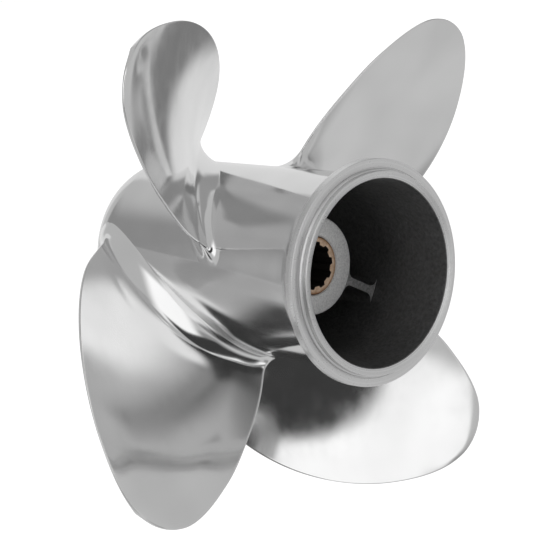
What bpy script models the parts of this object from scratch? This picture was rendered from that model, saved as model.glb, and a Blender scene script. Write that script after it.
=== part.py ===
"""Four-blade stainless outboard propeller with a flared barrel and a splined drive sleeve.

Metres, +Z up. The shaft runs along Y with +Y forward, towards the boat, and +X to
starboard. The origin lies on the shaft axis at the forward thrust face of the drive
sleeve. The propeller is right-handed: seen from aft it turns clockwise.
"""

import math

import bmesh
import bpy
from mathutils import Matrix, Vector

MM = 0.001
TOUCH_GAP = 0.3 * MM

BLADE_COUNT = 4
WEB_COUNT = 3
SPLINE_COUNT = 10

# Stations along the shaft, measured from the thrust face of the sleeve
RIM_Y = 21.0 * MM
SHOULDER_Y = 9.5 * MM
RING_FRONT_Y = -107.3 * MM
RING_AFT_Y = -111.0 * MM
TUBE_AFT_Y = -114.3 * MM
HUB_FRONT_Y = -2.0 * MM
HUB_AFT_Y = -76.0 * MM

# Barrel, an open tube that carries the exhaust gas past the hub
BARREL_RADIUS = 38.6 * MM
RIM_RADIUS = 34.2 * MM
RIM_WALL = 2.6 * MM
INNER_RADIUS = 36.1 * MM
MOUTH_RADIUS = 37.3 * MM
TUBE_RADIUS = 40.4 * MM
NECK_Y = -98.0 * MM
NECK_SWELL = 0.3 * MM
TUBE_CHAMFER = 0.6 * MM
CORE_DRAFT = 0.6 * MM

# Diffuser ring around the aft end of the barrel
RING_RADIUS = 45.0 * MM
RING_FLARE = 3.4 * MM
RING_STEP = 1.2 * MM
RING_EDGE = 0.8 * MM

# Inner hub with its rubber bush and drive sleeve
HUB_RADIUS = 20.0 * MM
HUB_WALL = 3.4 * MM
HUB_END_WALL = 9.0 * MM
HUB_EDGE = 0.8 * MM
BUSH_INSET = 3.0 * MM
BUSH_CHAMFER = 0.9 * MM
SLEEVE_RADIUS = 11.6 * MM
SPLINE_TIP_RADIUS = 8.4 * MM
SPLINE_ROOT_RADIUS = 9.5 * MM
SPLINE_ROOT_SAG = 0.1 * MM
SPLINE_GAP_SHARE = 0.5
SPLINE_FLANK_SHARE = 0.07

# Webs between the inner hub and the barrel
WEB_THICKNESS = 3.2 * MM
WEB_FOOT = 2.6 * MM
WEB_ANGLE = math.radians(-21.5)
WEB_FRONT_Y = -10.0 * MM

# Blades: pitch helix, hollow, rake, cup, thickness and root fillet
ROOT_PITCH = 215.0 * MM
PITCH_FALL = 0.277
HOLLOW = 14.9 * MM
BLADE_ANGLE = math.radians(45.2)
BLADE_Y = -38.0 * MM
RAKE_SLOPE = 0.475
RAKE_CURVE = 1.08
CUP_DEPTH = 1.9 * MM
CUP_SHARE = 0.14
ROOT_THICKNESS = 7.0 * MM
TIP_THICKNESS = 2.6 * MM
EDGE_THICKNESS = 1.3 * MM
FILLET_RADIUS = 7.8 * MM
BACK_FILLET_SHARE = 0.6
EDGE_SPREAD = 0.35
ROOT_RADIUS = BARREL_RADIUS + TOUCH_GAP

# Blade edge as angle behind or ahead of the tip in degrees and radius in millimetres,
# from the trailing root over the tip to the leading root
TRAILING_ROOT = (-33.4, 38.9)
TRAILING_EDGE = ((-29.7, 53.3), (-23.5, 73.8), (-18.1, 94.3), (-10.1, 118.9))
TIP = (0.0, 126.8)
LEADING_EDGE = ((13.5, 115.8), (31.3, 94.3), (43.5, 73.8), (50.6, 53.3))
LEADING_ROOT = (55.7, 38.9)

TURN_STEPS = 72
SLEEVE_STEPS = 60
CHORD_STEPS = 16
FILLET_STEPS = 4
SPAN_STEPS = 13
CAP_STEPS = 6
TIP_SPAN = 0.985


def clear_scene():
    for old in list(bpy.data.objects):
        bpy.data.objects.remove(old, do_unlink=True)


def make_collection(name):
    collection = bpy.data.collections.new(name)
    bpy.context.scene.collection.children.link(collection)
    return collection


def make_material(name, colour, roughness, metallic):
    material = bpy.data.materials.new(name)
    material.use_nodes = True
    shader = material.node_tree.nodes["Principled BSDF"]
    shader.inputs["Base Color"].default_value = (*colour, 1.0)
    shader.inputs["Roughness"].default_value = roughness
    shader.inputs["Metallic"].default_value = metallic
    return material


def add_object(name, data, collection, material):
    piece = bpy.data.objects.new(name, data)
    data.materials.append(material)
    collection.objects.link(piece)
    return piece


def shade_round(mesh, angle=math.radians(35)):
    mesh.shade_smooth()
    mesh.set_sharp_from_angle(angle=angle)


def arc(centre_r, centre_y, radius, start, end, steps):
    """Points of an arc in the radius and Y plane, with angles in degrees from outward."""
    points = []
    for step in range(steps + 1):
        angle = math.radians(start + (end - start) * step / steps)
        points.append((centre_r + radius * math.cos(angle), centre_y + radius * math.sin(angle)))
    return points


def turned(name, profile, collection, material, steps=TURN_STEPS):
    """A ring turned about the shaft from a closed profile of radius and Y points.

    The profile runs down its outer side, from forward to aft, and back inside.
    """
    mesh = bpy.data.meshes.new(name)
    count = len(profile)
    points = [(radius, 0.0, y) for radius, y in profile]
    edges = [(index, (index + 1) % count) for index in range(count)]
    mesh.from_pydata(points, edges, [])
    piece = add_object(name, mesh, collection, material)
    piece.rotation_euler = (math.radians(-90), 0.0, 0.0)
    screw = piece.modifiers.new("Turn", "SCREW")
    screw.axis = "Z"
    screw.angle = math.tau
    screw.steps = steps
    screw.render_steps = steps
    screw.use_merge_vertices = True
    screw.merge_threshold = 0.01 * MM
    screw.use_smooth_shade = True
    return piece


def extruded(name, outlines, front_y, aft_y, collection, material):
    """A flat outline in the X and Z plane, drawn out along the shaft."""
    curve = bpy.data.curves.new(name, "CURVE")
    curve.dimensions = "2D"
    curve.fill_mode = "BOTH"
    curve.extrude = (front_y - aft_y) / 2
    for outline in outlines:
        spline = curve.splines.new("POLY")
        spline.points.add(len(outline) - 1)
        for point, (x, z) in zip(spline.points, outline):
            point.co = (x, z, 0.0, 1.0)
        spline.use_cyclic_u = True
    piece = add_object(name, curve, collection, material)
    piece.rotation_euler = (math.radians(90), 0.0, 0.0)
    piece.location = (0.0, (front_y + aft_y) / 2, 0.0)
    return piece


def barrel_radius(y):
    """Outer radius of the barrel, straight up to its shoulder and rounded to the rim."""
    if y <= SHOULDER_Y:
        return BARREL_RADIUS
    share = min(1.0, (y - SHOULDER_Y) / (RIM_Y - SHOULDER_Y))
    return BARREL_RADIUS - (BARREL_RADIUS - RIM_RADIUS) * share ** 1.5


def make_barrel(collection, material):
    shoulder_steps = 5
    outer = []
    for step in range(shoulder_steps + 1):
        y = RIM_Y + (SHOULDER_Y - RIM_Y) * step / shoulder_steps
        outer.append((barrel_radius(y), y))
    outer.append((BARREL_RADIUS, NECK_Y))
    flare_end = RING_FRONT_Y + RING_FLARE
    outer.append((BARREL_RADIUS + NECK_SWELL, (NECK_Y + flare_end) / 2))
    outer.append((TUBE_RADIUS, flare_end))
    outer.append((TUBE_RADIUS, TUBE_AFT_Y + TUBE_CHAMFER))
    outer.append((TUBE_RADIUS - TUBE_CHAMFER, TUBE_AFT_Y))
    inner = [
        (MOUTH_RADIUS, TUBE_AFT_Y),
        (INNER_RADIUS, NECK_Y),
        (INNER_RADIUS, HUB_AFT_Y),
        (INNER_RADIUS - CORE_DRAFT, SHOULDER_Y),
        (RIM_RADIUS - RIM_WALL, RIM_Y),
    ]
    return turned("barrel", outer + inner, collection, material)


def make_diffuser_ring(collection, material):
    bore = TUBE_RADIUS + TOUCH_GAP
    edge_radius = RING_RADIUS - RING_EDGE
    flare = arc(edge_radius, RING_FRONT_Y + RING_FLARE, RING_FLARE, -90, -180, 5)
    lip = [(bore, RING_FRONT_Y + RING_FLARE)]
    lip += [(radius, y) for radius, y in reversed(flare) if radius > bore + RING_EDGE / 2]
    lip += arc(edge_radius, RING_FRONT_Y - RING_EDGE, RING_EDGE, 90, 0, 3)[1:]
    lip += [(RING_RADIUS, RING_AFT_Y + RING_EDGE)]
    lip += arc(edge_radius, RING_AFT_Y + RING_EDGE, RING_EDGE, 0, -90, 3)[1:]
    lip += [(bore, RING_AFT_Y - RING_STEP)]
    return turned("diffuser_ring", lip, collection, material)


def make_inner_hub(collection, material):
    bush_bore = HUB_RADIUS - HUB_WALL
    sleeve_bore = SLEEVE_RADIUS + TOUCH_GAP
    shoulder_y = HUB_AFT_Y + HUB_END_WALL
    edge_radius = HUB_RADIUS - HUB_EDGE
    profile = arc(edge_radius, HUB_FRONT_Y - HUB_EDGE, HUB_EDGE, 90, 0, 3)
    profile += arc(edge_radius, HUB_AFT_Y + HUB_EDGE, HUB_EDGE, 0, -90, 3)
    profile += [
        (sleeve_bore, HUB_AFT_Y),
        (sleeve_bore, shoulder_y),
        (bush_bore, shoulder_y),
        (bush_bore, HUB_FRONT_Y),
    ]
    return turned("inner_hub", profile, collection, material, SLEEVE_STEPS)


def make_rubber_bush(collection, material):
    outer = HUB_RADIUS - HUB_WALL - TOUCH_GAP
    inner = SLEEVE_RADIUS + TOUCH_GAP
    front = HUB_FRONT_Y - BUSH_INSET
    aft = HUB_AFT_Y + HUB_END_WALL + TOUCH_GAP
    profile = [
        (outer - BUSH_CHAMFER, front),
        (outer, front - BUSH_CHAMFER),
        (outer, aft),
        (inner, aft),
        (inner, front),
    ]
    return turned("rubber_bush", profile, collection, material, SLEEVE_STEPS)


def spline_outline():
    """The bore's outline: flat-topped teeth between round-bottomed grooves."""
    pitch_angle = math.tau / SPLINE_COUNT
    half_groove = pitch_angle * SPLINE_GAP_SHARE / 2
    flank = pitch_angle * SPLINE_FLANK_SHARE
    points = []
    for groove in range(SPLINE_COUNT):
        middle = groove * pitch_angle
        corners = (
            (middle - half_groove - flank, SPLINE_TIP_RADIUS),
            (middle - half_groove + flank, SPLINE_ROOT_RADIUS),
            (middle, SPLINE_ROOT_RADIUS + SPLINE_ROOT_SAG),
            (middle + half_groove - flank, SPLINE_ROOT_RADIUS),
            (middle + half_groove + flank, SPLINE_TIP_RADIUS),
        )
        points += [(radius * math.cos(angle), radius * math.sin(angle)) for angle, radius in corners]
    return points


def make_drive_sleeve(collection, material):
    circle = []
    for step in range(SLEEVE_STEPS):
        angle = math.tau * step / SLEEVE_STEPS
        circle.append((SLEEVE_RADIUS * math.cos(angle), SLEEVE_RADIUS * math.sin(angle)))
    outlines = [circle, spline_outline()]
    return extruded("drive_sleeve", outlines, 0.0, HUB_AFT_Y, collection, material)


def web_outline(middle_angle):
    """One web, with feet that widen into the hub and the barrel."""
    inner = HUB_RADIUS + TOUCH_GAP
    outer = INNER_RADIUS - CORE_DRAFT - TOUCH_GAP
    half = WEB_THICKNESS / 2
    side = []
    for share in (0.0, 0.35, 0.7, 1.0):
        side.append((inner + WEB_FOOT * share, half + WEB_FOOT * (1 - share) ** 2))
    for share in (0.0, 0.3, 0.65, 1.0):
        side.append((outer - WEB_FOOT * (1 - share), half + WEB_FOOT * share ** 2))
    across = []
    for radius, offset in side:
        across.append((math.sqrt(max(radius ** 2 - offset ** 2, 0.0)), offset))
    loop = across + [(outer, 0.0)] + [(x, -z) for x, z in reversed(across)] + [(inner, 0.0)]
    turn = Matrix.Rotation(middle_angle, 2)
    return [tuple(turn @ Vector(point)) for point in loop]


def make_web(number, collection, material):
    angle = WEB_ANGLE + (number - 1) * math.tau / WEB_COUNT
    outline = web_outline(angle)
    return extruded(f"web_{number}", [outline], WEB_FRONT_Y, HUB_AFT_Y, collection, material)


def curve_through(points, at):
    """Smooth curve through the points, read at a position counted in points."""
    last = len(points) - 1
    index = min(int(at), last - 1)
    share = at - index
    here, there = points[index], points[index + 1]
    before = points[index - 1] if index > 0 else [2 * a - b for a, b in zip(here, there)]
    after = points[index + 2] if index + 2 <= last else [2 * b - a for a, b in zip(here, there)]
    values = []
    for a, b, c, d in zip(before, here, there, after):
        cubic = 3 * b - a - 3 * c + d
        square = 2 * a - 5 * b + 4 * c - d
        values.append(0.5 * (2 * b + (c - a) * share + square * share ** 2 + cubic * share ** 3))
    return values


def edge_points():
    return [TRAILING_ROOT, *TRAILING_EDGE, TIP, *LEADING_EDGE, LEADING_ROOT]


def edge_at(position):
    """Angle in radians and radius in metres of a point on the blade's edge."""
    angle, radius = curve_through(edge_points(), position)
    return math.radians(angle), radius * MM


def helix_rise(angle, radius):
    """Y gained for each radian of turn, which grows from the trailing to the leading edge."""
    pitch = ROOT_PITCH - PITCH_FALL * (radius - ROOT_RADIUS)
    return pitch / math.tau + 2 * HOLLOW * angle


def face_y(angle, radius, span, across):
    """Y of the driving face: pitch helix, rake towards aft and the cupped trailing edge."""
    height = radius - ROOT_RADIUS
    helix = (helix_rise(0.0, radius) + HOLLOW * angle) * angle
    rake = RAKE_SLOPE * height - RAKE_CURVE * height ** 2
    cup = CUP_DEPTH * (1 - span ** 4) * max(0.0, 1 - across / CUP_SHARE) ** 2
    return BLADE_Y + helix - rake - cup


def section_lift(span, side, on_back):
    """Height of a section's surface over its face line, side being 1 at midchord."""
    edge = EDGE_THICKNESS / 2 * min(1.0, 3.0 * side)
    if not on_back:
        return -edge
    full = ROOT_THICKNESS + (TIP_THICKNESS - ROOT_THICKNESS) * span ** 0.6
    return edge + (full - EDGE_THICKNESS) * side ** 2


def fillet_width(height, turn):
    """Width that the root fillet adds at a height above the barrel, less on the blade's back."""
    if height >= FILLET_RADIUS:
        return 0.0
    rise = FILLET_RADIUS - max(height, 0.0)
    width = FILLET_RADIUS - math.sqrt(FILLET_RADIUS ** 2 - rise ** 2)
    return width * (1 - (1 - BACK_FILLET_SHARE) * max(0.0, -math.sin(turn)))


def blade_ring(span, blade_turn):
    """Closed loop of points around the blade at one station between root and tip."""
    half_edge = (len(edge_points()) - 1) / 2
    trailing = edge_at(span * half_edge)
    leading = edge_at((2 - span) * half_edge)
    ring = []
    for step in range(2 * CHORD_STEPS):
        turn = math.pi * step / CHORD_STEPS
        across = (1 - math.cos(turn)) / 2
        angle = trailing[0] + (leading[0] - trailing[0]) * across
        radius = trailing[1] + (leading[1] - trailing[1]) * across
        side = abs(math.sin(turn))
        lift = section_lift(span, side, step > CHORD_STEPS)
        y = face_y(angle, radius, span, across)
        spread = fillet_width(radius - ROOT_RADIUS, turn)
        outward = Vector((-EDGE_SPREAD * math.cos(turn), -math.sin(turn))).normalized() * spread
        slope = math.atan2(helix_rise(angle, radius), radius)
        along = outward.x
        above = lift + outward.y
        angle += (along * math.cos(slope) - above * math.sin(slope)) / radius
        y += along * math.sin(slope) + above * math.cos(slope)
        if radius < ROOT_RADIUS + 2 * FILLET_RADIUS:
            radius += barrel_radius(y) - BARREL_RADIUS
        place = blade_turn - angle
        ring.append(Vector((radius * math.cos(place), y, radius * math.sin(place))))
    return ring


def on_barrel(point):
    """Moves a point out or in to the barrel's surface, leaving the touching gap."""
    radius = barrel_radius(point.y) + TOUCH_GAP
    length = math.hypot(point.x, point.z)
    return Vector((point.x * radius / length, point.y, point.z * radius / length))


def cap_root(mesh, ring):
    """Closes the foot of the blade with rows that follow the barrel's surface."""
    rows = [[ring[0]]]
    for step in range(1, CHORD_STEPS):
        face, back = ring[step], ring[-step]
        row = [face]
        for part in range(1, CAP_STEPS):
            middle = face.co.lerp(back.co, part / CAP_STEPS)
            row.append(mesh.verts.new(on_barrel(middle)))
        rows.append(row + [back])
    rows.append([ring[CHORD_STEPS]])
    for before, after in zip(rows, rows[1:]):
        for index in range(CAP_STEPS):
            corners = [
                before[min(index, len(before) - 1)],
                before[min(index + 1, len(before) - 1)],
                after[min(index + 1, len(after) - 1)],
                after[min(index, len(after) - 1)],
            ]
            mesh.faces.new(list(dict.fromkeys(corners)))


def make_blade(number, collection, material):
    """Loft between unlike sections, from the filleted root to the rounded tip."""
    blade_turn = BLADE_ANGLE + (number - 1) * math.tau / BLADE_COUNT
    half_edge = (len(edge_points()) - 1) / 2
    first_rise = (TRAILING_EDGE[0][1] - TRAILING_ROOT[1]) * MM
    spans = []
    for step in range(FILLET_STEPS + 1):
        height = FILLET_RADIUS * (1 - math.cos(math.pi / 2 * step / FILLET_STEPS))
        spans.append(height / first_rise / half_edge)
    start = spans[-1]
    for step in range(1, SPAN_STEPS + 1):
        share = math.sin(math.pi / 2 * step / SPAN_STEPS)
        spans.append(start + (TIP_SPAN - start) * share)
    mesh = bmesh.new()
    rings = [[mesh.verts.new(point) for point in blade_ring(span, blade_turn)] for span in spans]
    for vertex in rings[0]:
        vertex.co = on_barrel(vertex.co)
    for lower, upper in zip(rings, rings[1:]):
        for index in range(2 * CHORD_STEPS):
            after = (index + 1) % (2 * CHORD_STEPS)
            mesh.faces.new((lower[index], lower[after], upper[after], upper[index]))
    mesh.faces.new(rings[-1])
    cap_root(mesh, rings[0])
    bmesh.ops.recalc_face_normals(mesh, faces=mesh.faces)
    data = bpy.data.meshes.new(f"blade_{number}")
    mesh.to_mesh(data)
    mesh.free()
    shade_round(data)
    return add_object(f"blade_{number}", data, collection, material)


def build():
    clear_scene()
    collection = make_collection("outboard_propeller")
    polished = make_material("polished_stainless", (0.62, 0.62, 0.63), 0.12, 1.0)
    machined = make_material("machined_stainless", (0.60, 0.60, 0.61), 0.35, 1.0)
    cast = make_material("cast_stainless", (0.38, 0.38, 0.39), 0.55, 1.0)
    bronze = make_material("bronze", (0.45, 0.29, 0.17), 0.45, 1.0)
    rubber = make_material("rubber", (0.03, 0.03, 0.03), 0.75, 0.0)
    make_barrel(collection, polished)
    make_diffuser_ring(collection, machined)
    make_inner_hub(collection, cast)
    make_rubber_bush(collection, rubber)
    make_drive_sleeve(collection, bronze)
    for number in range(1, WEB_COUNT + 1):
        make_web(number, collection, cast)
    for number in range(1, BLADE_COUNT + 1):
        make_blade(number, collection, polished)


build()
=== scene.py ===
# %% [markdown]
# # An outboard boat propeller in polished stainless steel
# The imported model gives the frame: every piece that is made here sits on it, in metres,
# with the shaft along Y and the boat towards +Y. The real thing is one casting, polished
# outside and left matte inside, with a rubber bush and a bronze sleeve pressed into it.

# %% Load the frame
import math

import bpy
import numpy as np
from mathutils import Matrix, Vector


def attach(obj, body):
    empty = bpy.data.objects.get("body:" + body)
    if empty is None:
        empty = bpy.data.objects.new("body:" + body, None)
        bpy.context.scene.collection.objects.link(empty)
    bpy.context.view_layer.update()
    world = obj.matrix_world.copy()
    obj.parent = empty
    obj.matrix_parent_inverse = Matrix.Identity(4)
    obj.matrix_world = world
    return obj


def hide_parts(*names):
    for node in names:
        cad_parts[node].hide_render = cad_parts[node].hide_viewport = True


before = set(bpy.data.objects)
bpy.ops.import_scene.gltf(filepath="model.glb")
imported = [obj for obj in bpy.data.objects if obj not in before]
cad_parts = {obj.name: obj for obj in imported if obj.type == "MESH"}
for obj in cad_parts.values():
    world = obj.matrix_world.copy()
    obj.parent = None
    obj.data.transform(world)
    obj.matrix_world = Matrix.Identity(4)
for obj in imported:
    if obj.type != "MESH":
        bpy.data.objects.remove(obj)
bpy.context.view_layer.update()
MM = 0.001

# %% [markdown]
# ## Camera
# A long lens far away keeps the four blades at nearly one scale. The camera stands aft of
# the propeller, to port and a little above it, and its place is given as angles round the
# point that it looks at, because that is how a photographer would walk round it.

# %% Camera
VIEW_AZIMUTH = math.radians(-42.39)
VIEW_ELEVATION = math.radians(6.53)
VIEW_DISTANCE = 1.075
VIEW_TARGET = Vector((-0.0291, -0.0842, -0.0008))
LENS = 179.3
SENSOR = 36.0

back = Vector((
    math.sin(VIEW_AZIMUTH) * math.cos(VIEW_ELEVATION),
    -math.cos(VIEW_AZIMUTH) * math.cos(VIEW_ELEVATION),
    math.sin(VIEW_ELEVATION),
))
camera_data = bpy.data.cameras.new("camera")
camera_data.lens = LENS
camera_data.sensor_width = SENSOR
camera_data.clip_end = 60.0
camera = bpy.data.objects.new("camera", camera_data)
camera.location = VIEW_TARGET + back * VIEW_DISTANCE
camera.rotation_euler = back.to_track_quat("Z", "Y").to_euler()
bpy.context.scene.collection.objects.link(camera)
bpy.context.scene.camera = camera
print("camera stands at", [round(value, 3) for value in camera.location])

# %% [markdown]
# ## Sizes
# These are the driving sizes of the real casting. The blade is described the way a
# propeller maker does it: a pitch helix, the rake towards aft, an outline given as angle
# and radius, a cup at the trailing edge, and a thickness that grows towards the root.

# %% Sizes
def mm(*values):
    scaled = [value * MM for value in values]
    return scaled[0] if len(scaled) == 1 else scaled


RIM_Y, SHOULDER_Y, NECK_Y = mm(21.0, 9.5, -98.0)
RING_FRONT_Y, RING_AFT_Y, TUBE_AFT_Y = mm(-107.3, -111.0, -114.3)
HUB_FRONT_Y, HUB_AFT_Y = mm(-2.0, -76.0)
BARREL_RADIUS, RIM_RADIUS, RIM_WALL = mm(38.6, 34.2, 2.6)
INNER_RADIUS, MOUTH_RADIUS, TUBE_RADIUS, MOUTH_DROP = mm(36.1, 37.3, 40.4, 0.7)
RING_RADIUS, RING_FLARE = mm(45.0, 3.4)
HUB_RADIUS, HUB_WALL, HUB_END_WALL = mm(20.0, 3.4, 9.0)
SLEEVE_RADIUS, SPLINE_TIP, SPLINE_ROOT = mm(11.6, 8.4, 9.5)
WEB_THICKNESS, WEB_FOOT, WEB_FRONT_Y = mm(3.2, 2.6, -10.0)
WEB_ANGLE = math.radians(-21.5)
SPLINES, WEBS, BLADES = 10, 3, 4
SPLINE_TURN = math.radians(9.0)

ROOT_PITCH, HOLLOW, BLADE_Y = mm(215.0, 14.9, -38.0)
PITCH_FALL = 0.277
BLADE_ANGLE = math.radians(45.2)
RAKE_SLOPE, RAKE_CURVE = 0.475, 1.08
CUP_DEPTH, CUP_WIDTH = mm(1.45, 11.5)
ROOT_THICKNESS, TIP_THICKNESS, EDGE_THICKNESS = mm(7.0, 2.6, 1.3)
FILLET_RADIUS, SAG_START = mm(8.2, 16.0)
ROUND_FILLET, FLAT_FILLET, BELT_REACH = 2.0, 1.4, (0.12, 0.45)
SAG_TIP_FADE = 6
BACK_FILLET_SHARE, EDGE_SPREAD = 0.6, 0.35
SAG_EVEN, SAG_LEAN, SAG_EDGE = (3.7, -1.8, -2.0, -1.6), (1.2, 1.0, -0.5), -1.1
OUTLINE = (
    (-33.4, 38.9), (-29.7, 53.3), (-23.5, 73.8), (-18.1, 94.3), (-10.1, 118.9), (0.0, 126.6),
    (13.5, 115.7), (31.3, 94.2), (43.5, 73.8), (50.6, 53.3), (55.7, 38.9),
)
ROOT_RADIUS = BARREL_RADIUS
print("barrel", round(2 * BARREL_RADIUS / MM, 1), "mm, ring", round(2 * RING_RADIUS / MM, 1), "mm across")

# %% [markdown]
# ## Helpers for modelling
# An operator works on whatever is selected, so each piece starts from a clean selection.
# `finish_piece` puts the object's place into its mesh, gives it smooth shading with sharp
# edges where the real piece has them, and lets it ride on the frame.

# %% Selection and finishing helpers
def start_clean():
    if bpy.context.object and bpy.context.object.mode == "EDIT":
        bpy.ops.object.mode_set(mode="OBJECT")
    bpy.ops.object.select_all(action="DESELECT")


def edit(piece, mode="VERT", select="SELECT"):
    start_clean()
    bpy.context.view_layer.objects.active = piece
    piece.select_set(True)
    bpy.ops.object.mode_set(mode="EDIT")
    bpy.ops.mesh.select_mode(type=mode)
    bpy.ops.mesh.select_all(action=select)


def leave_edit():
    bpy.ops.object.mode_set(mode="OBJECT")


def close_and_turn_out(piece, distance=mm(0.002)):
    edit(piece)
    bpy.ops.mesh.remove_doubles(threshold=distance)
    bpy.ops.mesh.select_all(action="SELECT")
    bpy.ops.mesh.normals_make_consistent(inside=False)
    leave_edit()


def finish_piece(piece, nodes, angle=40.0):
    start_clean()
    bpy.context.view_layer.objects.active = piece
    piece.select_set(True)
    bpy.ops.object.transform_apply(location=True, rotation=True, scale=True)
    bpy.ops.object.shade_smooth_by_angle(angle=math.radians(angle))
    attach(piece, "root")
    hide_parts(*nodes)
    print(piece.name, "has", len(piece.data.polygons), "faces")


def copies_round_shaft(first, count):
    """The piece and its copies, each with its own mesh, in equal steps round the shaft."""
    copies = [first]
    for number in range(1, count):
        start_clean()
        bpy.context.view_layer.objects.active = first
        first.select_set(True)
        bpy.ops.object.duplicate(linked=False)
        copy = bpy.context.object
        copy.name = copy.data.name = first.name[:-1] + str(number + 1)
        copy.rotation_euler = (0, -number * math.tau / count, 0)
        copies.append(copy)
    return copies


def coords(piece):
    values = np.empty(len(piece.data.vertices) * 3)
    piece.data.vertices.foreach_get("co", values)
    return values.reshape(-1, 3)


def set_coords(piece, points):
    piece.data.vertices.foreach_set("co", np.asarray(points, dtype=np.float64).ravel())
    piece.data.update()


# %% [markdown]
# ## Turned pieces
# Everything round on the propeller is symmetric about the shaft. A single vertex is
# extruded along half of the cross-section, and Spin turns that line about the Y axis. A
# lathe works in the same way, so edges and grooves come out true.

# %% Spinning a cross-section about the shaft
def arc(centre_radius, centre_y, radius, start, end, steps):
    """Points of an arc, with angles in degrees from outward and forward at 90."""
    turns = np.radians(np.linspace(start, end, steps + 1))
    return [(centre_radius + radius * math.cos(t), centre_y + radius * math.sin(t)) for t in turns]


def spun(name, profile, steps):
    start_clean()
    bpy.ops.mesh.primitive_plane_add(size=mm(1.0))
    piece = bpy.context.object
    piece.name = piece.data.name = name
    edit(piece)
    bpy.ops.mesh.merge(type="CENTER")
    bpy.ops.mesh.select_all(action="SELECT")
    here = Vector((0.0, 0.0, 0.0))
    for number, (radius, y) in enumerate([*profile, profile[0]]):
        there = Vector((radius, y, 0.0))
        if number == 0:
            bpy.ops.transform.translate(value=there - here)
        else:
            bpy.ops.mesh.extrude_region_move(TRANSFORM_OT_translate={"value": there - here})
        here = there
    bpy.ops.mesh.select_all(action="SELECT")
    bpy.ops.mesh.remove_doubles(threshold=mm(0.002))
    bpy.ops.mesh.select_all(action="SELECT")
    bpy.ops.mesh.spin(steps=steps, angle=math.tau, center=(0, 0, 0), axis=(0, 1, 0))
    leave_edit()
    close_and_turn_out(piece)
    return piece


# %% [markdown]
# ## Barrel
# The barrel is an open tube. Its outside is straight up to a shoulder and then tapers to a
# rounded rim, and aft of the neck it swells to the seat of the ring. Its inside is the
# exhaust passage, which no polisher reaches, so those faces get the matte finish.

# %% Barrel
def barrel_radius(y):
    share = np.clip((y - SHOULDER_Y) / (RIM_Y - SHOULDER_Y), 0.0, 1.0)
    return BARREL_RADIUS - (BARREL_RADIUS - RIM_RADIUS) * (0.25 * share + 0.75 * share ** 2)


def make_barrel():
    rim_edge, lip_edge = mm(1.1, 0.35)
    outer = arc(RIM_RADIUS - rim_edge, RIM_Y - rim_edge, rim_edge, 90, 25, 6)
    for y in np.linspace(RIM_Y - 1.6 * MM, SHOULDER_Y, 20):
        outer.append((float(barrel_radius(y)), float(y)))
    for y in np.linspace(SHOULDER_Y, NECK_Y, 30)[1:]:
        outer.append((BARREL_RADIUS, float(y)))
    flare_end = RING_FRONT_Y + RING_FLARE
    for share in np.linspace(0.0, 1.0, 14)[1:]:
        swell = share ** 2.2 * (TUBE_RADIUS - BARREL_RADIUS)
        outer.append((BARREL_RADIUS + swell, NECK_Y + (flare_end - NECK_Y) * share))
    outer += [(TUBE_RADIUS, TUBE_AFT_Y + lip_edge)]
    outer += arc(TUBE_RADIUS - lip_edge, TUBE_AFT_Y + lip_edge, lip_edge, 0, -75, 4)[1:]
    inner = [(MOUTH_RADIUS + mm(0.35), TUBE_AFT_Y + MOUTH_DROP)]
    inner += [(MOUTH_RADIUS + mm(0.05), TUBE_AFT_Y + MOUTH_DROP + mm(0.25))]
    inner += [(INNER_RADIUS, NECK_Y), (INNER_RADIUS, HUB_AFT_Y)]
    inner += [(INNER_RADIUS - 0.6 * MM, SHOULDER_Y)]
    inner += [(RIM_RADIUS - RIM_WALL, RIM_Y - 0.5 * MM), (RIM_RADIUS - RIM_WALL + 0.5 * MM, RIM_Y)]
    piece = spun("barrel_shell", outer + inner, 192)
    return piece


barrel = make_barrel()
finish_piece(barrel, ["barrel"], angle=35)

# %% [markdown]
# ## Diffuser ring
# The ring keeps the exhaust from being drawn back into the blades. It was turned on a
# lathe after casting, so it has crisp steps: a concave flare in front, a narrow rim, and
# shallow grooves on its aft face.

# %% Diffuser ring
BEAD_HEIGHT = mm(1.2)
AFT_FACE = (
    # radius and height over the face: a cut groove, then the bead against the barrel
    (41.75, 0.0), (41.55, -0.3), (41.3, -0.3), (41.15, 0.1), (41.05, 0.8), (40.85, 1.1), (40.65, 1.2),
)


def make_ring():
    bore = TUBE_RADIUS + mm(0.05)
    edge = mm(0.3)
    flare = arc(RING_RADIUS - edge, RING_FRONT_Y + RING_FLARE, RING_FLARE, -170, -90, 12)
    profile = [(bore, RING_FRONT_Y + RING_FLARE)]
    profile += [point for point in flare if point[0] > bore + mm(0.1)]
    profile += arc(RING_RADIUS - edge, RING_FRONT_Y - edge, edge, 90, 0, 5)[1:]
    profile += arc(RING_RADIUS - edge, RING_AFT_Y + edge, edge, 0, -90, 5)
    for radius, rise in AFT_FACE:
        profile.append((radius * MM, RING_AFT_Y - rise * MM))
    profile += [(bore, RING_AFT_Y - BEAD_HEIGHT)]
    return spun("diffuser_flare", profile, 192)


ring = make_ring()
finish_piece(ring, ["diffuser_ring"], angle=30)

# %% [markdown]
# ## Inner hub, bush and sleeve
# The inner hub holds the rubber bush, and the bush grips the bronze sleeve with its ten
# splines. From aft only the hub's flat end and the sleeve's end show.

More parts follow.
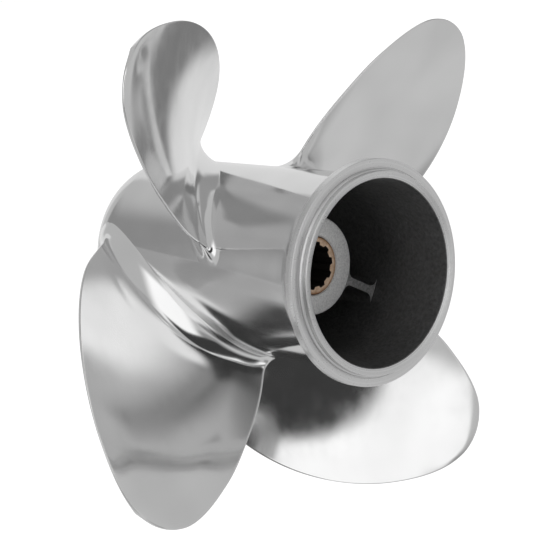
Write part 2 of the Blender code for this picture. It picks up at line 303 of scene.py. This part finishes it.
# %% Inner hub and rubber bush
def make_hub():
    edge = mm(0.7)
    bore = SLEEVE_RADIUS + mm(0.3)
    bush_bore = HUB_RADIUS - HUB_WALL
    shoulder = HUB_AFT_Y + HUB_END_WALL
    profile = arc(HUB_RADIUS - edge, HUB_FRONT_Y - edge, edge, 90, 0, 5)
    profile += arc(HUB_RADIUS - edge, HUB_AFT_Y + edge, edge, 0, -90, 5)
    profile += [(bore + mm(0.5), HUB_AFT_Y), (bore, HUB_AFT_Y + mm(0.5))]
    profile += [(bore, shoulder), (bush_bore, shoulder), (bush_bore, HUB_FRONT_Y)]
    return spun("hub_casting", profile, 128)


def make_bush():
    outer = HUB_RADIUS - HUB_WALL - mm(0.05)
    inner = SLEEVE_RADIUS + mm(0.05)
    front, aft = HUB_FRONT_Y - mm(3.0), HUB_AFT_Y + HUB_END_WALL + mm(0.3)
    edge = mm(1.2)
    profile = arc(outer - edge, front - edge, edge, 90, 0, 5)
    profile += [(outer, aft), (inner, aft)]
    profile += arc(inner + edge, front - edge, edge, 180, 90, 5)
    return spun("bush_rubber", profile, 96)


hub = make_hub()
finish_piece(hub, ["inner_hub"], angle=30)
bush = make_bush()
finish_piece(bush, ["rubber_bush"], angle=50)

# %% [markdown]
# ## Splined sleeve
# A circle is the start of the bore. Its points are pushed out in ten grooves, a second
# circle makes the outside, and Bridge joins the two into the flat end, which is then
# extruded along the shaft.

# %% Drive sleeve
SLEEVE_POINTS = 240


def spline_radius(angle):
    """Bore radius: flat teeth and grooves, joined by short sloped flanks."""
    share = np.abs(((angle - SPLINE_TURN) * SPLINES / math.tau + 0.5) % 1.0 - 0.5) * 2
    rise = np.clip((0.5 - share) / 0.24 + 0.5, 0.0, 1.0)
    rise = rise * rise * (3 - 2 * rise)
    return SPLINE_TIP + (SPLINE_ROOT - SPLINE_TIP) * rise


def make_sleeve():
    start_clean()
    flat = (math.radians(90), 0.0, 0.0)
    bpy.ops.mesh.primitive_circle_add(vertices=SLEEVE_POINTS, radius=SPLINE_TIP, rotation=flat)
    bore = bpy.context.object
    bpy.ops.object.transform_apply(location=True, rotation=True, scale=True)
    points = coords(bore)
    angles = np.arctan2(points[:, 2], points[:, 0])
    radii = spline_radius(angles)
    set_coords(bore, np.stack([radii * np.cos(angles), 0 * radii, radii * np.sin(angles)], 1))
    bpy.ops.mesh.primitive_circle_add(vertices=SLEEVE_POINTS, radius=SLEEVE_RADIUS, rotation=flat)
    piece = bpy.context.object
    bore.select_set(True)
    bpy.ops.object.join()
    piece.name = piece.data.name = "splined_sleeve"
    edit(piece, "EDGE")
    bpy.ops.mesh.bridge_edge_loops()
    bpy.ops.mesh.select_all(action="SELECT")
    bpy.ops.mesh.extrude_region_move(TRANSFORM_OT_translate={"value": (0, HUB_AFT_Y, 0)})
    leave_edit()
    close_and_turn_out(piece)
    bevel = piece.modifiers.new("edge", "BEVEL")
    bevel.width = mm(0.25)
    bevel.segments = 2
    bevel.limit_method = "ANGLE"
    bevel.angle_limit = math.radians(60)
    start_clean()
    bpy.context.view_layer.objects.active = piece
    piece.select_set(True)
    bpy.ops.object.modifier_apply(modifier=bevel.name)
    return piece


sleeve = make_sleeve()
finish_piece(sleeve, ["drive_sleeve"], angle=35)

# %% [markdown]
# ## Webs
# Three webs carry the hub. Each is a thin plate that flares where it meets the hub and the
# barrel, as castings do so that the metal flows. One web is made from a grid whose rows
# are widened at both ends, extruded along the shaft, and copied.

# %% Webs
def web_half_width(share):
    """Half the web's thickness from hub to barrel, with a foot at both ends."""
    length = INNER_RADIUS - HUB_RADIUS
    from_hub, from_barrel = share * length, (1 - share) * length
    half = WEB_THICKNESS / 2 + 0 * share
    for distance, foot in ((from_hub, WEB_FOOT), (from_barrel, WEB_FOOT * 1.5)):
        rise = np.clip(1 - distance / foot, 0.0, 1.0)
        half = half + foot * (1 - np.sqrt(1 - rise ** 2))
    return half


def make_web():
    start_clean()
    rows, columns = 48, 6
    bpy.ops.mesh.primitive_grid_add(x_subdivisions=rows, y_subdivisions=columns, size=1.0)
    piece = bpy.context.object
    piece.name = piece.data.name = "web_casting_1"
    points = coords(piece)
    share, side = points[:, 0] + 0.5, points[:, 1] * 2
    across = web_half_width(share) * side
    inner = np.sqrt((HUB_RADIUS - mm(0.3)) ** 2 - across ** 2)
    outer = np.sqrt((INNER_RADIUS - mm(0.2)) ** 2 - across ** 2)
    along = inner + (outer - inner) * share
    x = along * math.cos(WEB_ANGLE) - across * math.sin(WEB_ANGLE)
    z = along * math.sin(WEB_ANGLE) + across * math.cos(WEB_ANGLE)
    set_coords(piece, np.stack([x, WEB_FRONT_Y + 0 * x, z], 1))
    edit(piece)
    length = HUB_AFT_Y - WEB_FRONT_Y
    bpy.ops.mesh.extrude_region_move(TRANSFORM_OT_translate={"value": (0, length, 0)})
    leave_edit()
    close_and_turn_out(piece)
    return piece


webs = copies_round_shaft(make_web(), WEBS)
for number, web in enumerate(webs, start=1):
    finish_piece(web, [f"web_{number}"], angle=35)

# %% [markdown]
# ## Blades
# A blade can't be cut from a primitive, but it can be wrapped from one. A tube with many
# rings is the start: each ring becomes one section round the blade, from the root fillet
# out to the tip, where the last ring closes to a point. The wrap follows the pitch helix,
# the rake and the outline, and the distance to the outline rounds the edge and forms the
# cup.

# %% The outline as a smooth curve
def curve_through(points, at):
    """Smooth curve through points, read at positions counted in points."""
    points = np.asarray(points, dtype=float)
    padded = np.vstack([2 * points[0] - points[1], points, 2 * points[-1] - points[-2]])
    index = np.minimum(np.floor(at).astype(int), len(points) - 2)
    share = (at - index)[:, None]
    a, b, c, d = (padded[index + shift] for shift in range(4))
    cubic, square = 3 * b - a - 3 * c + d, 2 * a - 5 * b + 4 * c - d
    return 0.5 * (2 * b + (c - a) * share + square * share ** 2 + cubic * share ** 3)


def edge_at(at):
    angle_radius = curve_through(OUTLINE, at)
    return np.radians(angle_radius[:, 0]), angle_radius[:, 1] * MM


def helix_rise(angle, radius):
    return (ROOT_PITCH - PITCH_FALL * (radius - ROOT_RADIUS)) / math.tau + 2 * HOLLOW * angle


HALF_EDGE = (len(OUTLINE) - 1) / 2
tip_angle, tip_radius = edge_at(np.array([HALF_EDGE]))
print("tip circle", round(2 * tip_radius[0] / MM, 1), "mm")


# %% Distance from the edges of the blade
EDGE_STEPS = 240


def edge_distance(angle, radius, start, end):
    """Distance in metres to a stretch of the outline, on the unrolled blade."""
    edge_angle, edge_radius = edge_at(np.linspace(start, end, EDGE_STEPS))
    nearest = np.full(angle.shape, np.inf)
    stretch = radius / np.cos(np.arctan2(helix_rise(angle, radius), radius))
    for step in range(EDGE_STEPS - 1):
        along = (edge_angle[step] - angle) * stretch
        out = edge_radius[step] - radius
        turn = (edge_angle[step + 1] - edge_angle[step]) * stretch
        rise = edge_radius[step + 1] - edge_radius[step]
        share = np.clip(-(along * turn + out * rise) / (turn ** 2 + rise ** 2), 0, 1)
        nearest = np.minimum(nearest, np.hypot(along + share * turn, out + share * rise))
    return nearest


# %% Wrapping the sections
CHORD_STEPS = 72
CAP_ROWS, FILLET_ROWS, SPAN_ROWS = 4, 16, 80


def smooth_step(low, high, value):
    share = np.clip((value - low) / (high - low), 0, 1)
    return share ** 2 * (3 - 2 * share)


def fillet_width(height, turn):
    """Spread of the root: round at the trailing end, flattened by the belt further on."""
    across = (1 - np.cos(turn)) / 2
    power = ROUND_FILLET + (FLAT_FILLET - ROUND_FILLET) * smooth_step(*BELT_REACH, across)
    rise = np.clip(1 - np.maximum(height, 0.0) / FILLET_RADIUS, 0.0, 1.0)
    width = FILLET_RADIUS * (1 - (1 - rise ** power) ** (1 / power))
    return width * (1 - (1 - BACK_FILLET_SHARE) * np.maximum(0.0, -np.sin(turn)))


def face_sag(span, across, height):
    """Depth of the driving face between its edges, over the hollow of its helix."""
    clear_of_root = smooth_step(0, SAG_START, height)
    side = 2 * across - 1
    even = sum(depth * span ** power for power, depth in enumerate(SAG_EVEN))
    lean = sum(depth * span ** power for power, depth in enumerate(SAG_LEAN))
    depth = even + side * lean + side ** 2 * SAG_EDGE
    return depth * MM * clear_of_root * (1 - side ** 2) * (1 - span ** SAG_TIP_FADE)


def blade_points(span, turn):
    """Points of the blade's skin: span runs from root to tip, turn once round a section."""
    trailing_angle, trailing_radius = edge_at(span * HALF_EDGE)
    leading_angle, leading_radius = edge_at((2 - span) * HALF_EDGE)
    across = (1 - np.cos(turn)) / 2
    angle = trailing_angle + (leading_angle - trailing_angle) * across
    radius = trailing_radius + (leading_radius - trailing_radius) * across
    height = radius - mm(OUTLINE[0][1])
    rim = np.clip(edge_distance(angle, radius, 0, 2 * HALF_EDGE) / (EDGE_THICKNESS / 2), 0, 1)
    half_edge = EDGE_THICKNESS / 2 * np.sqrt(1 - (1 - rim) ** 2)
    full = ROOT_THICKNESS + (TIP_THICKNESS - ROOT_THICKNESS) * span ** 0.6
    side = np.sin(turn)
    swell = np.where(side < 0, (full - EDGE_THICKNESS) * side ** 2, 0.0)
    lift = np.where(side < 0, half_edge + swell, -half_edge)
    bend = np.clip(1 - edge_distance(angle, radius, 0, HALF_EDGE) / CUP_WIDTH, 0, 1)
    cup = CUP_DEPTH * bend ** 2 * (1 - span ** 4)
    rake = RAKE_SLOPE * height - RAKE_CURVE * height ** 2
    y = BLADE_Y + (helix_rise(0 * angle, radius) + HOLLOW * angle) * angle - rake - cup
    y = y + face_sag(span, across, height)
    spread = fillet_width(height, turn)
    outward = np.stack([-EDGE_SPREAD * np.cos(turn), -np.sin(turn)], 1)
    outward = outward / np.linalg.norm(outward, axis=1)[:, None] * spread[:, None]
    slope = np.arctan2(helix_rise(angle, radius), radius)
    above = lift + outward[:, 1]
    angle = angle + (outward[:, 0] * np.cos(slope) - above * np.sin(slope)) / radius
    y = y + outward[:, 0] * np.sin(slope) + above * np.cos(slope)
    near_root = np.clip(1 - height / (2 * FILLET_RADIUS), 0, 1)
    radius = radius - (mm(OUTLINE[0][1]) - ROOT_RADIUS) * near_root
    radius = radius + (barrel_radius(y) - BARREL_RADIUS) * np.minimum(1, near_root * 2)
    place = BLADE_ANGLE - angle
    return np.stack([radius * np.cos(place), y, radius * np.sin(place)], 1)


def row_spans():
    """Span of every ring, dense in the fillet and at the tip."""
    root_rise = (OUTLINE[1][1] - OUTLINE[0][1]) * MM * HALF_EDGE
    quarter = np.linspace(0, math.pi / 2, FILLET_ROWS + 1)
    fillet = FILLET_RADIUS * (1 - np.cos(quarter)) / root_rise
    beyond = np.linspace(0, 1, SPAN_ROWS + 1)[1:]
    rest = fillet[-1] + (1 - fillet[-1]) * (1 - (1 - beyond) ** 1.8)
    return np.concatenate([np.zeros(CAP_ROWS), fillet, rest])


def make_blade():
    start_clean()
    around = 2 * CHORD_STEPS
    spans = row_spans()
    bpy.ops.mesh.primitive_cylinder_add(vertices=around, radius=1, depth=1, end_fill_type="NOTHING")
    piece = bpy.context.object
    piece.name = piece.data.name = "blade_casting_1"
    edit(piece, "EDGE", "DESELECT")
    leave_edit()
    for side in piece.data.edges:
        low, high = (piece.data.vertices[index].co.z for index in side.vertices)
        side.select = abs(high - low) > 0.5
    bpy.ops.object.mode_set(mode="EDIT")
    bpy.ops.mesh.subdivide(number_cuts=len(spans) - 2)
    leave_edit()
    points = coords(piece)
    turn = np.arctan2(points[:, 1], points[:, 0])
    row = np.rint((points[:, 2] + 0.5) * (len(spans) - 1)).astype(int)
    skin = blade_points(spans[row], turn)
    partner = blade_points(spans[row], -turn)
    middle = (skin + partner) / 2
    middle_radius = np.hypot(middle[:, 0], middle[:, 2])
    under = np.clip(1 - row / CAP_ROWS, 0, 1)[:, None]
    sunk = (barrel_radius(middle[:, 1]) - mm(0.5))[:, None]
    on_barrel = middle * np.array([1, 0, 1]) / middle_radius[:, None] * sunk + middle * np.array([0, 1, 0])
    skin = skin * (1 - under) + on_barrel * under
    set_coords(piece, skin)
    close_and_turn_out(piece, mm(0.01))
    return piece


blades = copies_round_shaft(make_blade(), BLADES)
for number, blade in enumerate(blades, start=1):
    finish_piece(blade, [f"blade_{number}"], angle=60)

# %% [markdown]
# ## Finishes
# The casting is one metal with three finishes. The outside is mirror polished, the ring
# and the end of the hub are turned, and the inside is left as it came from the mould and
# has been darkened by exhaust. Effects that several finishes share are node groups.

# %% Small helpers for node trees
def wire(tree, node_type, inputs=(), **settings):
    """Add a node, set its fields, and fill its inputs by name or number."""
    node = tree.nodes.new(node_type)
    for field, value in settings.items():
        setattr(node, field, value)
    for key, value in dict(inputs).items():
        socket = node.inputs[key]
        if isinstance(value, bpy.types.NodeSocket):
            tree.links.new(value, socket)
        else:
            socket.default_value = value
    return node


def new_group(name, inputs, outputs):
    group = bpy.data.node_groups.new(name, "ShaderNodeTree")
    kinds = {"Vector": "NodeSocketVector", "Float": "NodeSocketFloat", "Color": "NodeSocketColor"}
    for socket, kind in inputs.items():
        group.interface.new_socket(socket, in_out="INPUT", socket_type=kinds[kind])
    for socket, kind in outputs.items():
        group.interface.new_socket(socket, in_out="OUTPUT", socket_type=kinds[kind])
    return group, wire(group, "NodeGroupInput"), wire(group, "NodeGroupOutput")


def place_group(tree, group, inputs):
    return wire(tree, "ShaderNodeGroup", inputs, node_tree=group)


# %% [markdown]
# ### Cloudiness of a hand-polished surface
# Polishing by hand leaves a mirror that is not quite even: wide soft clouds where the mop
# pressed harder, and fine streaks. Two noises give a mask for both.

# %% Polishing clouds
def make_polish_clouds():
    group, source, result = new_group(
        "polish_clouds",
        {"Position": "Vector", "Cloud Scale": "Float", "Streak Scale": "Float"},
        {"Clouds": "Float", "Streaks": "Float"},
    )
    clouds = wire(group, "ShaderNodeTexNoise", {
        "Vector": source.outputs["Position"], "Scale": source.outputs["Cloud Scale"],
        "Detail": 1.0, "Roughness": 0.4,
    })
    stretch = wire(group, "ShaderNodeVectorMath", {
        0: source.outputs["Position"], 1: (1.0, 0.25, 0.6),
    }, operation="MULTIPLY")
    streaks = wire(group, "ShaderNodeTexNoise", {
        "Vector": stretch.outputs[0], "Scale": source.outputs["Streak Scale"],
        "Detail": 5.0, "Roughness": 0.6,
    })
    group.links.new(clouds.outputs["Fac"], result.inputs["Clouds"])
    group.links.new(streaks.outputs["Fac"], result.inputs["Streaks"])
    return group


# %% [markdown]
# ### Turning marks
# A lathe tool leaves fine rings. Their pattern depends on the distance from the shaft and
# on the place along it, so a noise is read along those two lengths alone.

# %% Turning marks
def make_turning_marks():
    group, source, result = new_group(
        "turning_marks",
        {"Position": "Vector", "Lines": "Float"},
        {"Marks": "Float"},
    )
    split = wire(group, "ShaderNodeSeparateXYZ", {0: source.outputs["Position"]})
    flat = wire(group, "ShaderNodeCombineXYZ", {"X": split.outputs["X"], "Y": split.outputs["Z"]})
    radius = wire(group, "ShaderNodeVectorMath", {0: flat.outputs[0]}, operation="LENGTH")
    away = wire(group, "ShaderNodeMath", {
        0: radius.outputs["Value"], 1: split.outputs["Y"],
    }, operation="SUBTRACT")
    marks = wire(group, "ShaderNodeTexNoise", {
        "W": away.outputs[0], "Scale": source.outputs["Lines"], "Detail": 3.0, "Roughness": 0.7,
    }, noise_dimensions="1D")
    group.links.new(marks.outputs["Fac"], result.inputs["Marks"])
    return group


# %% [markdown]
# ### Grain of a casting
# Sand and blasting leave a fine, even grain with darker specks.

# %% Casting grain
def make_casting_grain():
    group, source, result = new_group(
        "casting_grain",
        {"Position": "Vector", "Grain Scale": "Float"},
        {"Grain": "Float", "Stains": "Float"},
    )
    grain = wire(group, "ShaderNodeTexNoise", {
        "Vector": source.outputs["Position"], "Scale": source.outputs["Grain Scale"],
        "Detail": 3.0, "Roughness": 0.6,
    })
    stains = wire(group, "ShaderNodeTexNoise", {
        "Vector": source.outputs["Position"], "Scale": 90.0, "Detail": 4.0, "Roughness": 0.6,
    })
    group.links.new(grain.outputs["Fac"], result.inputs["Grain"])
    group.links.new(stains.outputs["Fac"], result.inputs["Stains"])
    return group


CLOUDS = make_polish_clouds()
MARKS = make_turning_marks()
GRAIN = make_casting_grain()
print("shared effects:", CLOUDS.name, MARKS.name, GRAIN.name)


# %% [markdown]
# ### The materials
# Each finish reads one or two of the groups with its own values. The noise moves the colour
# and the roughness a little, and a weak bump gives the reflections their slight waver.

# %% Common parts of a finish
def new_finish(name, metallic, roughness=None, colour=None):
    material = bpy.data.materials.new(name)
    material.use_nodes = True
    tree = material.node_tree
    shader = tree.nodes["Principled BSDF"]
    shader.inputs["Metallic"].default_value = metallic
    if roughness is not None:
        shader.inputs["Roughness"].default_value = roughness
    if colour is not None:
        shader.inputs["Base Color"].default_value = (*colour, 1)
    place = wire(tree, "ShaderNodeTexCoord").outputs["Object"]
    return material, tree, shader, place


def between(tree, mask, low, high, start=0.3, end=0.7):
    """A number that runs from low to high as the mask runs from start to end."""
    node = wire(tree, "ShaderNodeMapRange", {
        "Value": mask, "From Min": start, "From Max": end, "To Min": low, "To Max": high,
    })
    return node.outputs["Result"]


def tint(tree, mask, dark, light, start=0.3, end=0.7):
    node = wire(tree, "ShaderNodeValToRGB", {"Fac": mask})
    ramp = node.color_ramp
    ramp.elements[0].position, ramp.elements[1].position = start, end
    ramp.elements[0].color, ramp.elements[1].color = (*dark, 1), (*light, 1)
    return node.outputs["Color"]


def relief(tree, shader, height, depth, strength=1.0):
    bump = wire(tree, "ShaderNodeBump", {"Height": height, "Distance": depth, "Strength": strength})
    tree.links.new(bump.outputs["Normal"], shader.inputs["Normal"])


# %% Polished, turned and cast steel
def make_polished():
    material, tree, shader, place = new_finish("polished_stainless", 1.0)
    clouds = place_group(tree, CLOUDS, {"Position": place, "Cloud Scale": 38.0, "Streak Scale": 160.0})
    tree.links.new(
        tint(tree, clouds.outputs["Clouds"], (0.74, 0.74, 0.74), (0.82, 0.82, 0.82)),
        shader.inputs["Base Color"],
    )
    tree.links.new(
        between(tree, clouds.outputs["Streaks"], 0.07, 0.15), shader.inputs["Roughness"],
    )
    relief(tree, shader, clouds.outputs["Clouds"], mm(0.2), 0.5)
    return material


def make_turned():
    material, tree, shader, place = new_finish("turned_stainless", 1.0)
    marks = place_group(tree, MARKS, {"Position": place, "Lines": 2600.0})
    grain = place_group(tree, GRAIN, {"Position": place, "Grain Scale": 900.0})
    tree.links.new(
        tint(tree, marks.outputs["Marks"], (0.62, 0.62, 0.62), (0.86, 0.86, 0.86)),
        shader.inputs["Base Color"],
    )
    tree.links.new(
        between(tree, grain.outputs["Grain"], 0.26, 0.4), shader.inputs["Roughness"],
    )
    relief(tree, shader, marks.outputs["Marks"], mm(0.06))
    return material


def make_hub_face():
    material, tree, shader, place = new_finish("turned_hub_face", 0.55, roughness=0.5)
    grain = place_group(tree, GRAIN, {"Position": place, "Grain Scale": 1300.0})
    tree.links.new(
        tint(tree, grain.outputs["Grain"], (0.60, 0.60, 0.60), (0.86, 0.86, 0.85)),
        shader.inputs["Base Color"],
    )
    relief(tree, shader, grain.outputs["Grain"], mm(0.08))
    return material


def make_cast_face():
    material, tree, shader, place = new_finish("cast_face", 0.3, roughness=0.6)
    grain = place_group(tree, GRAIN, {"Position": place, "Grain Scale": 1100.0})
    tree.links.new(
        tint(tree, grain.outputs["Grain"], (0.12, 0.12, 0.12), (0.3, 0.3, 0.3)),
        shader.inputs["Base Color"],
    )
    relief(tree, shader, grain.outputs["Grain"], mm(0.15))
    return material


def make_passage():
    material, tree, shader, place = new_finish("exhaust_passage", 0.8)
    grain = place_group(tree, GRAIN, {"Position": place, "Grain Scale": 700.0})
    tree.links.new(
        tint(tree, grain.outputs["Grain"], (0.12, 0.12, 0.12), (0.2, 0.2, 0.2)),
        shader.inputs["Base Color"],
    )
    tree.links.new(
        between(tree, grain.outputs["Stains"], 0.45, 0.62), shader.inputs["Roughness"],
    )
    relief(tree, shader, grain.outputs["Grain"], mm(0.12))
    return material


# %% Bronze and rubber
def make_bronze():
    material, tree, shader, place = new_finish("sleeve_bronze", 0.45, roughness=0.5)
    grain = place_group(tree, GRAIN, {"Position": place, "Grain Scale": 500.0})
    face = tint(tree, grain.outputs["Grain"], (0.50, 0.32, 0.2), (0.80, 0.62, 0.47))
    split = wire(tree, "ShaderNodeSeparateXYZ", {0: place})
    flat = wire(tree, "ShaderNodeCombineXYZ", {"X": split.outputs["X"], "Y": split.outputs["Z"]})
    radius = wire(tree, "ShaderNodeVectorMath", {0: flat.outputs[0]}, operation="LENGTH")
    rim = wire(tree, "ShaderNodeMapRange", {
        "Value": radius.outputs["Value"], "From Min": SLEEVE_RADIUS - mm(1.1), "From Max": SLEEVE_RADIUS,
    })
    mixed = wire(tree, "ShaderNodeMix", {
        "Factor": rim.outputs["Result"], "A": face, "B": (0.36, 0.17, 0.07, 1),
    }, data_type="RGBA")
    tree.links.new(mixed.outputs["Result"], shader.inputs["Base Color"])
    relief(tree, shader, grain.outputs["Grain"], mm(0.1))
    return material


POLISHED = make_polished()
TURNED = make_turned()
HUB_FACE = make_hub_face()
CAST_FACE = make_cast_face()
PASSAGE = make_passage()
BRONZE = make_bronze()
# The sleeve's bore is painted near black: painted shade for the deep hole through the sleeve, which lies
# in shadow.
BORE_PAINTED_SHADE = new_finish("greased_bore", 0.0, 0.55, (0.012, 0.009, 0.008))[0]
RUBBER = new_finish("bush_rubber", 0.0, 0.75, (0.03, 0.03, 0.03))[0]
print("finishes:", len(bpy.data.materials))


# %% [markdown]
# ### Where each finish goes
# Faces are picked by their direction: what faces the shaft, and what faces along it.

# %% Give the finishes to the faces
def dress(piece, *materials):
    for material in materials:
        piece.data.materials.append(material)


def facing(face):
    """How far a face looks away from the shaft, and how far it looks aft."""
    outward = Vector((face.center.x, 0, face.center.z)).normalized()
    return face.normal.dot(outward), -face.normal.y


def paint(piece, number, wanted):
    count = 0
    for face in piece.data.polygons:
        if wanted(face, *facing(face)):
            face.material_index = number
            count += 1
    print(piece.name, "has", count, "faces of", piece.data.materials[number].name)


dress(barrel, POLISHED, PASSAGE, TURNED)
paint(barrel, 1, lambda face, outward, aft: outward < -0.5)
paint(barrel, 2, lambda face, outward, aft: face.center.y < RING_AFT_Y and outward > -0.6)
dress(ring, TURNED)
dress(hub, PASSAGE, HUB_FACE)
paint(hub, 1, lambda face, outward, aft: abs(aft) > 0.4)
dress(bush, RUBBER)
dress(sleeve, BRONZE, BORE_PAINTED_SHADE)
# The bore faces and the spline flanks inside it get the near-black painted shade.
paint(sleeve, 1, lambda face, outward, aft: outward < -0.2 or (abs(aft) < 0.5 and outward < 0.5))
for web in webs:
    dress(web, PASSAGE, CAST_FACE)
    paint(web, 1, lambda face, outward, aft: abs(aft) > 0.7)
for blade in blades:
    dress(blade, POLISHED)

# %% [markdown]
# ## Studio
# Polished steel shows only what stands around it, so the studio is half of the look. The
# room is built as a world: a grey surround, a few softboxes and dark cards, each given by
# the direction in which the propeller sees it. The camera itself sees plain white.

# %% A soft-edged window of the room
def make_window_group():
    """Mask of a rectangle in the room, given in degrees as seen from the propeller."""
    numbers = ("Azimuth", "Elevation", "Half Width", "Half Height", "Side Softness", "End Softness")
    group, source, result = new_group(
        "soft_window",
        {"Direction": "Vector", **{name: "Float" for name in numbers}},
        {"Mask": "Float"},
    )

    def maths(operation, *values):
        return wire(group, "ShaderNodeMath", enumerate(values), operation=operation).outputs[0]

    def fade(angle, centre, half, softness):
        centre, half, softness = (source.outputs[name] for name in (centre, half, softness))
        offset = maths("ABSOLUTE", maths("WRAP", maths("SUBTRACT", angle, centre), 180.0, -180.0))
        return wire(group, "ShaderNodeMapRange", {
            "Value": offset, "From Min": maths("SUBTRACT", half, softness),
            "From Max": maths("ADD", half, softness), "To Min": 1.0, "To Max": 0.0,
        }, interpolation_type="SMOOTHSTEP").outputs["Result"]

    split = wire(group, "ShaderNodeSeparateXYZ", {0: source.outputs["Direction"]})
    azimuth = maths("DEGREES", maths("ARCTAN2", split.outputs["X"], split.outputs["Y"]))
    elevation = maths("DEGREES", maths("ARCSINE", split.outputs["Z"]))
    side = fade(azimuth, "Azimuth", "Half Width", "Side Softness")
    end = fade(elevation, "Elevation", "Half Height", "End Softness")
    group.links.new(maths("MULTIPLY", side, end), result.inputs["Mask"])
    return group


WINDOW = make_window_group()

# %% The room, from the surround to the lights
FLOOR_LEVEL, CEILING_LEVEL = 0.62, 0.55
ROOM = (
    # azimuth, elevation, half width, half height, side and end softness in degrees, brightness
    (50, 27, 40, 45, 3, 3, 0.79),
    (-26, 6, 17, 24, 3, 8, 0.31),
    (84, 18, 7, 42, 3, 8, 0.22),
    (171, -36, 17, 19, 3, 12, 0.35),
    (90, 53, 50, 16, 4, 5, 0.34),
    (-115, 18, 32, 26, 5, 9, 1.25),
    (-170, 6, 10, 24, 3, 5, 1.2),
    (-138, -27, 21, 15, 4, 6, 0.34),
    (-144, 1, 16, 33, 3, 6, 0.05),
)


def make_world():
    world = bpy.data.worlds.new("studio")
    bpy.context.scene.world = world
    world.use_nodes = True
    tree = world.node_tree
    direction = wire(tree, "ShaderNodeTexCoord").outputs["Generated"]
    height = wire(tree, "ShaderNodeSeparateXYZ", {0: direction})
    level = wire(tree, "ShaderNodeMapRange", {
        "Value": height.outputs["Z"], "From Min": -0.2, "From Max": 0.7,
        "To Min": FLOOR_LEVEL, "To Max": CEILING_LEVEL,
    }).outputs["Result"]
    for *shape, brightness in ROOM:
        window = place_group(tree, WINDOW, [(0, direction), *enumerate(shape, start=1)])
        level = wire(tree, "ShaderNodeMix", {
            "Factor": window.outputs["Mask"], "A": level, "B": brightness,
        }).outputs["Result"]
    room = tree.nodes["Background"]
    tree.links.new(level, room.inputs["Color"])
    white = wire(tree, "ShaderNodeBackground", {"Color": (1, 1, 1, 1)})
    path = wire(tree, "ShaderNodeLightPath")
    seen = wire(tree, "ShaderNodeMixShader", {
        0: path.outputs["Is Camera Ray"], 1: room.outputs[0], 2: white.outputs[0],
    })
    tree.links.new(seen.outputs[0], tree.nodes["World Output"].inputs["Surface"])
    print("the room has", len(ROOM), "windows and cards")


def make_floor():
    start_clean()
    bpy.ops.mesh.primitive_plane_add(size=60.0, location=(0, 0, -0.45))
    floor = bpy.context.object
    floor.name = "studio_floor"
    pale, tree, shader, place = new_finish("pale_floor", 0.0, 0.9, (0.9, 0.9, 0.9))
    shader.inputs["Emission Color"].default_value = (1, 1, 1, 1)
    shader.inputs["Emission Strength"].default_value = 0.6
    floor.data.materials.append(pale)
    floor.visible_glossy = False


make_world()
make_floor()
bpy.context.scene.view_settings.view_transform = "Standard"
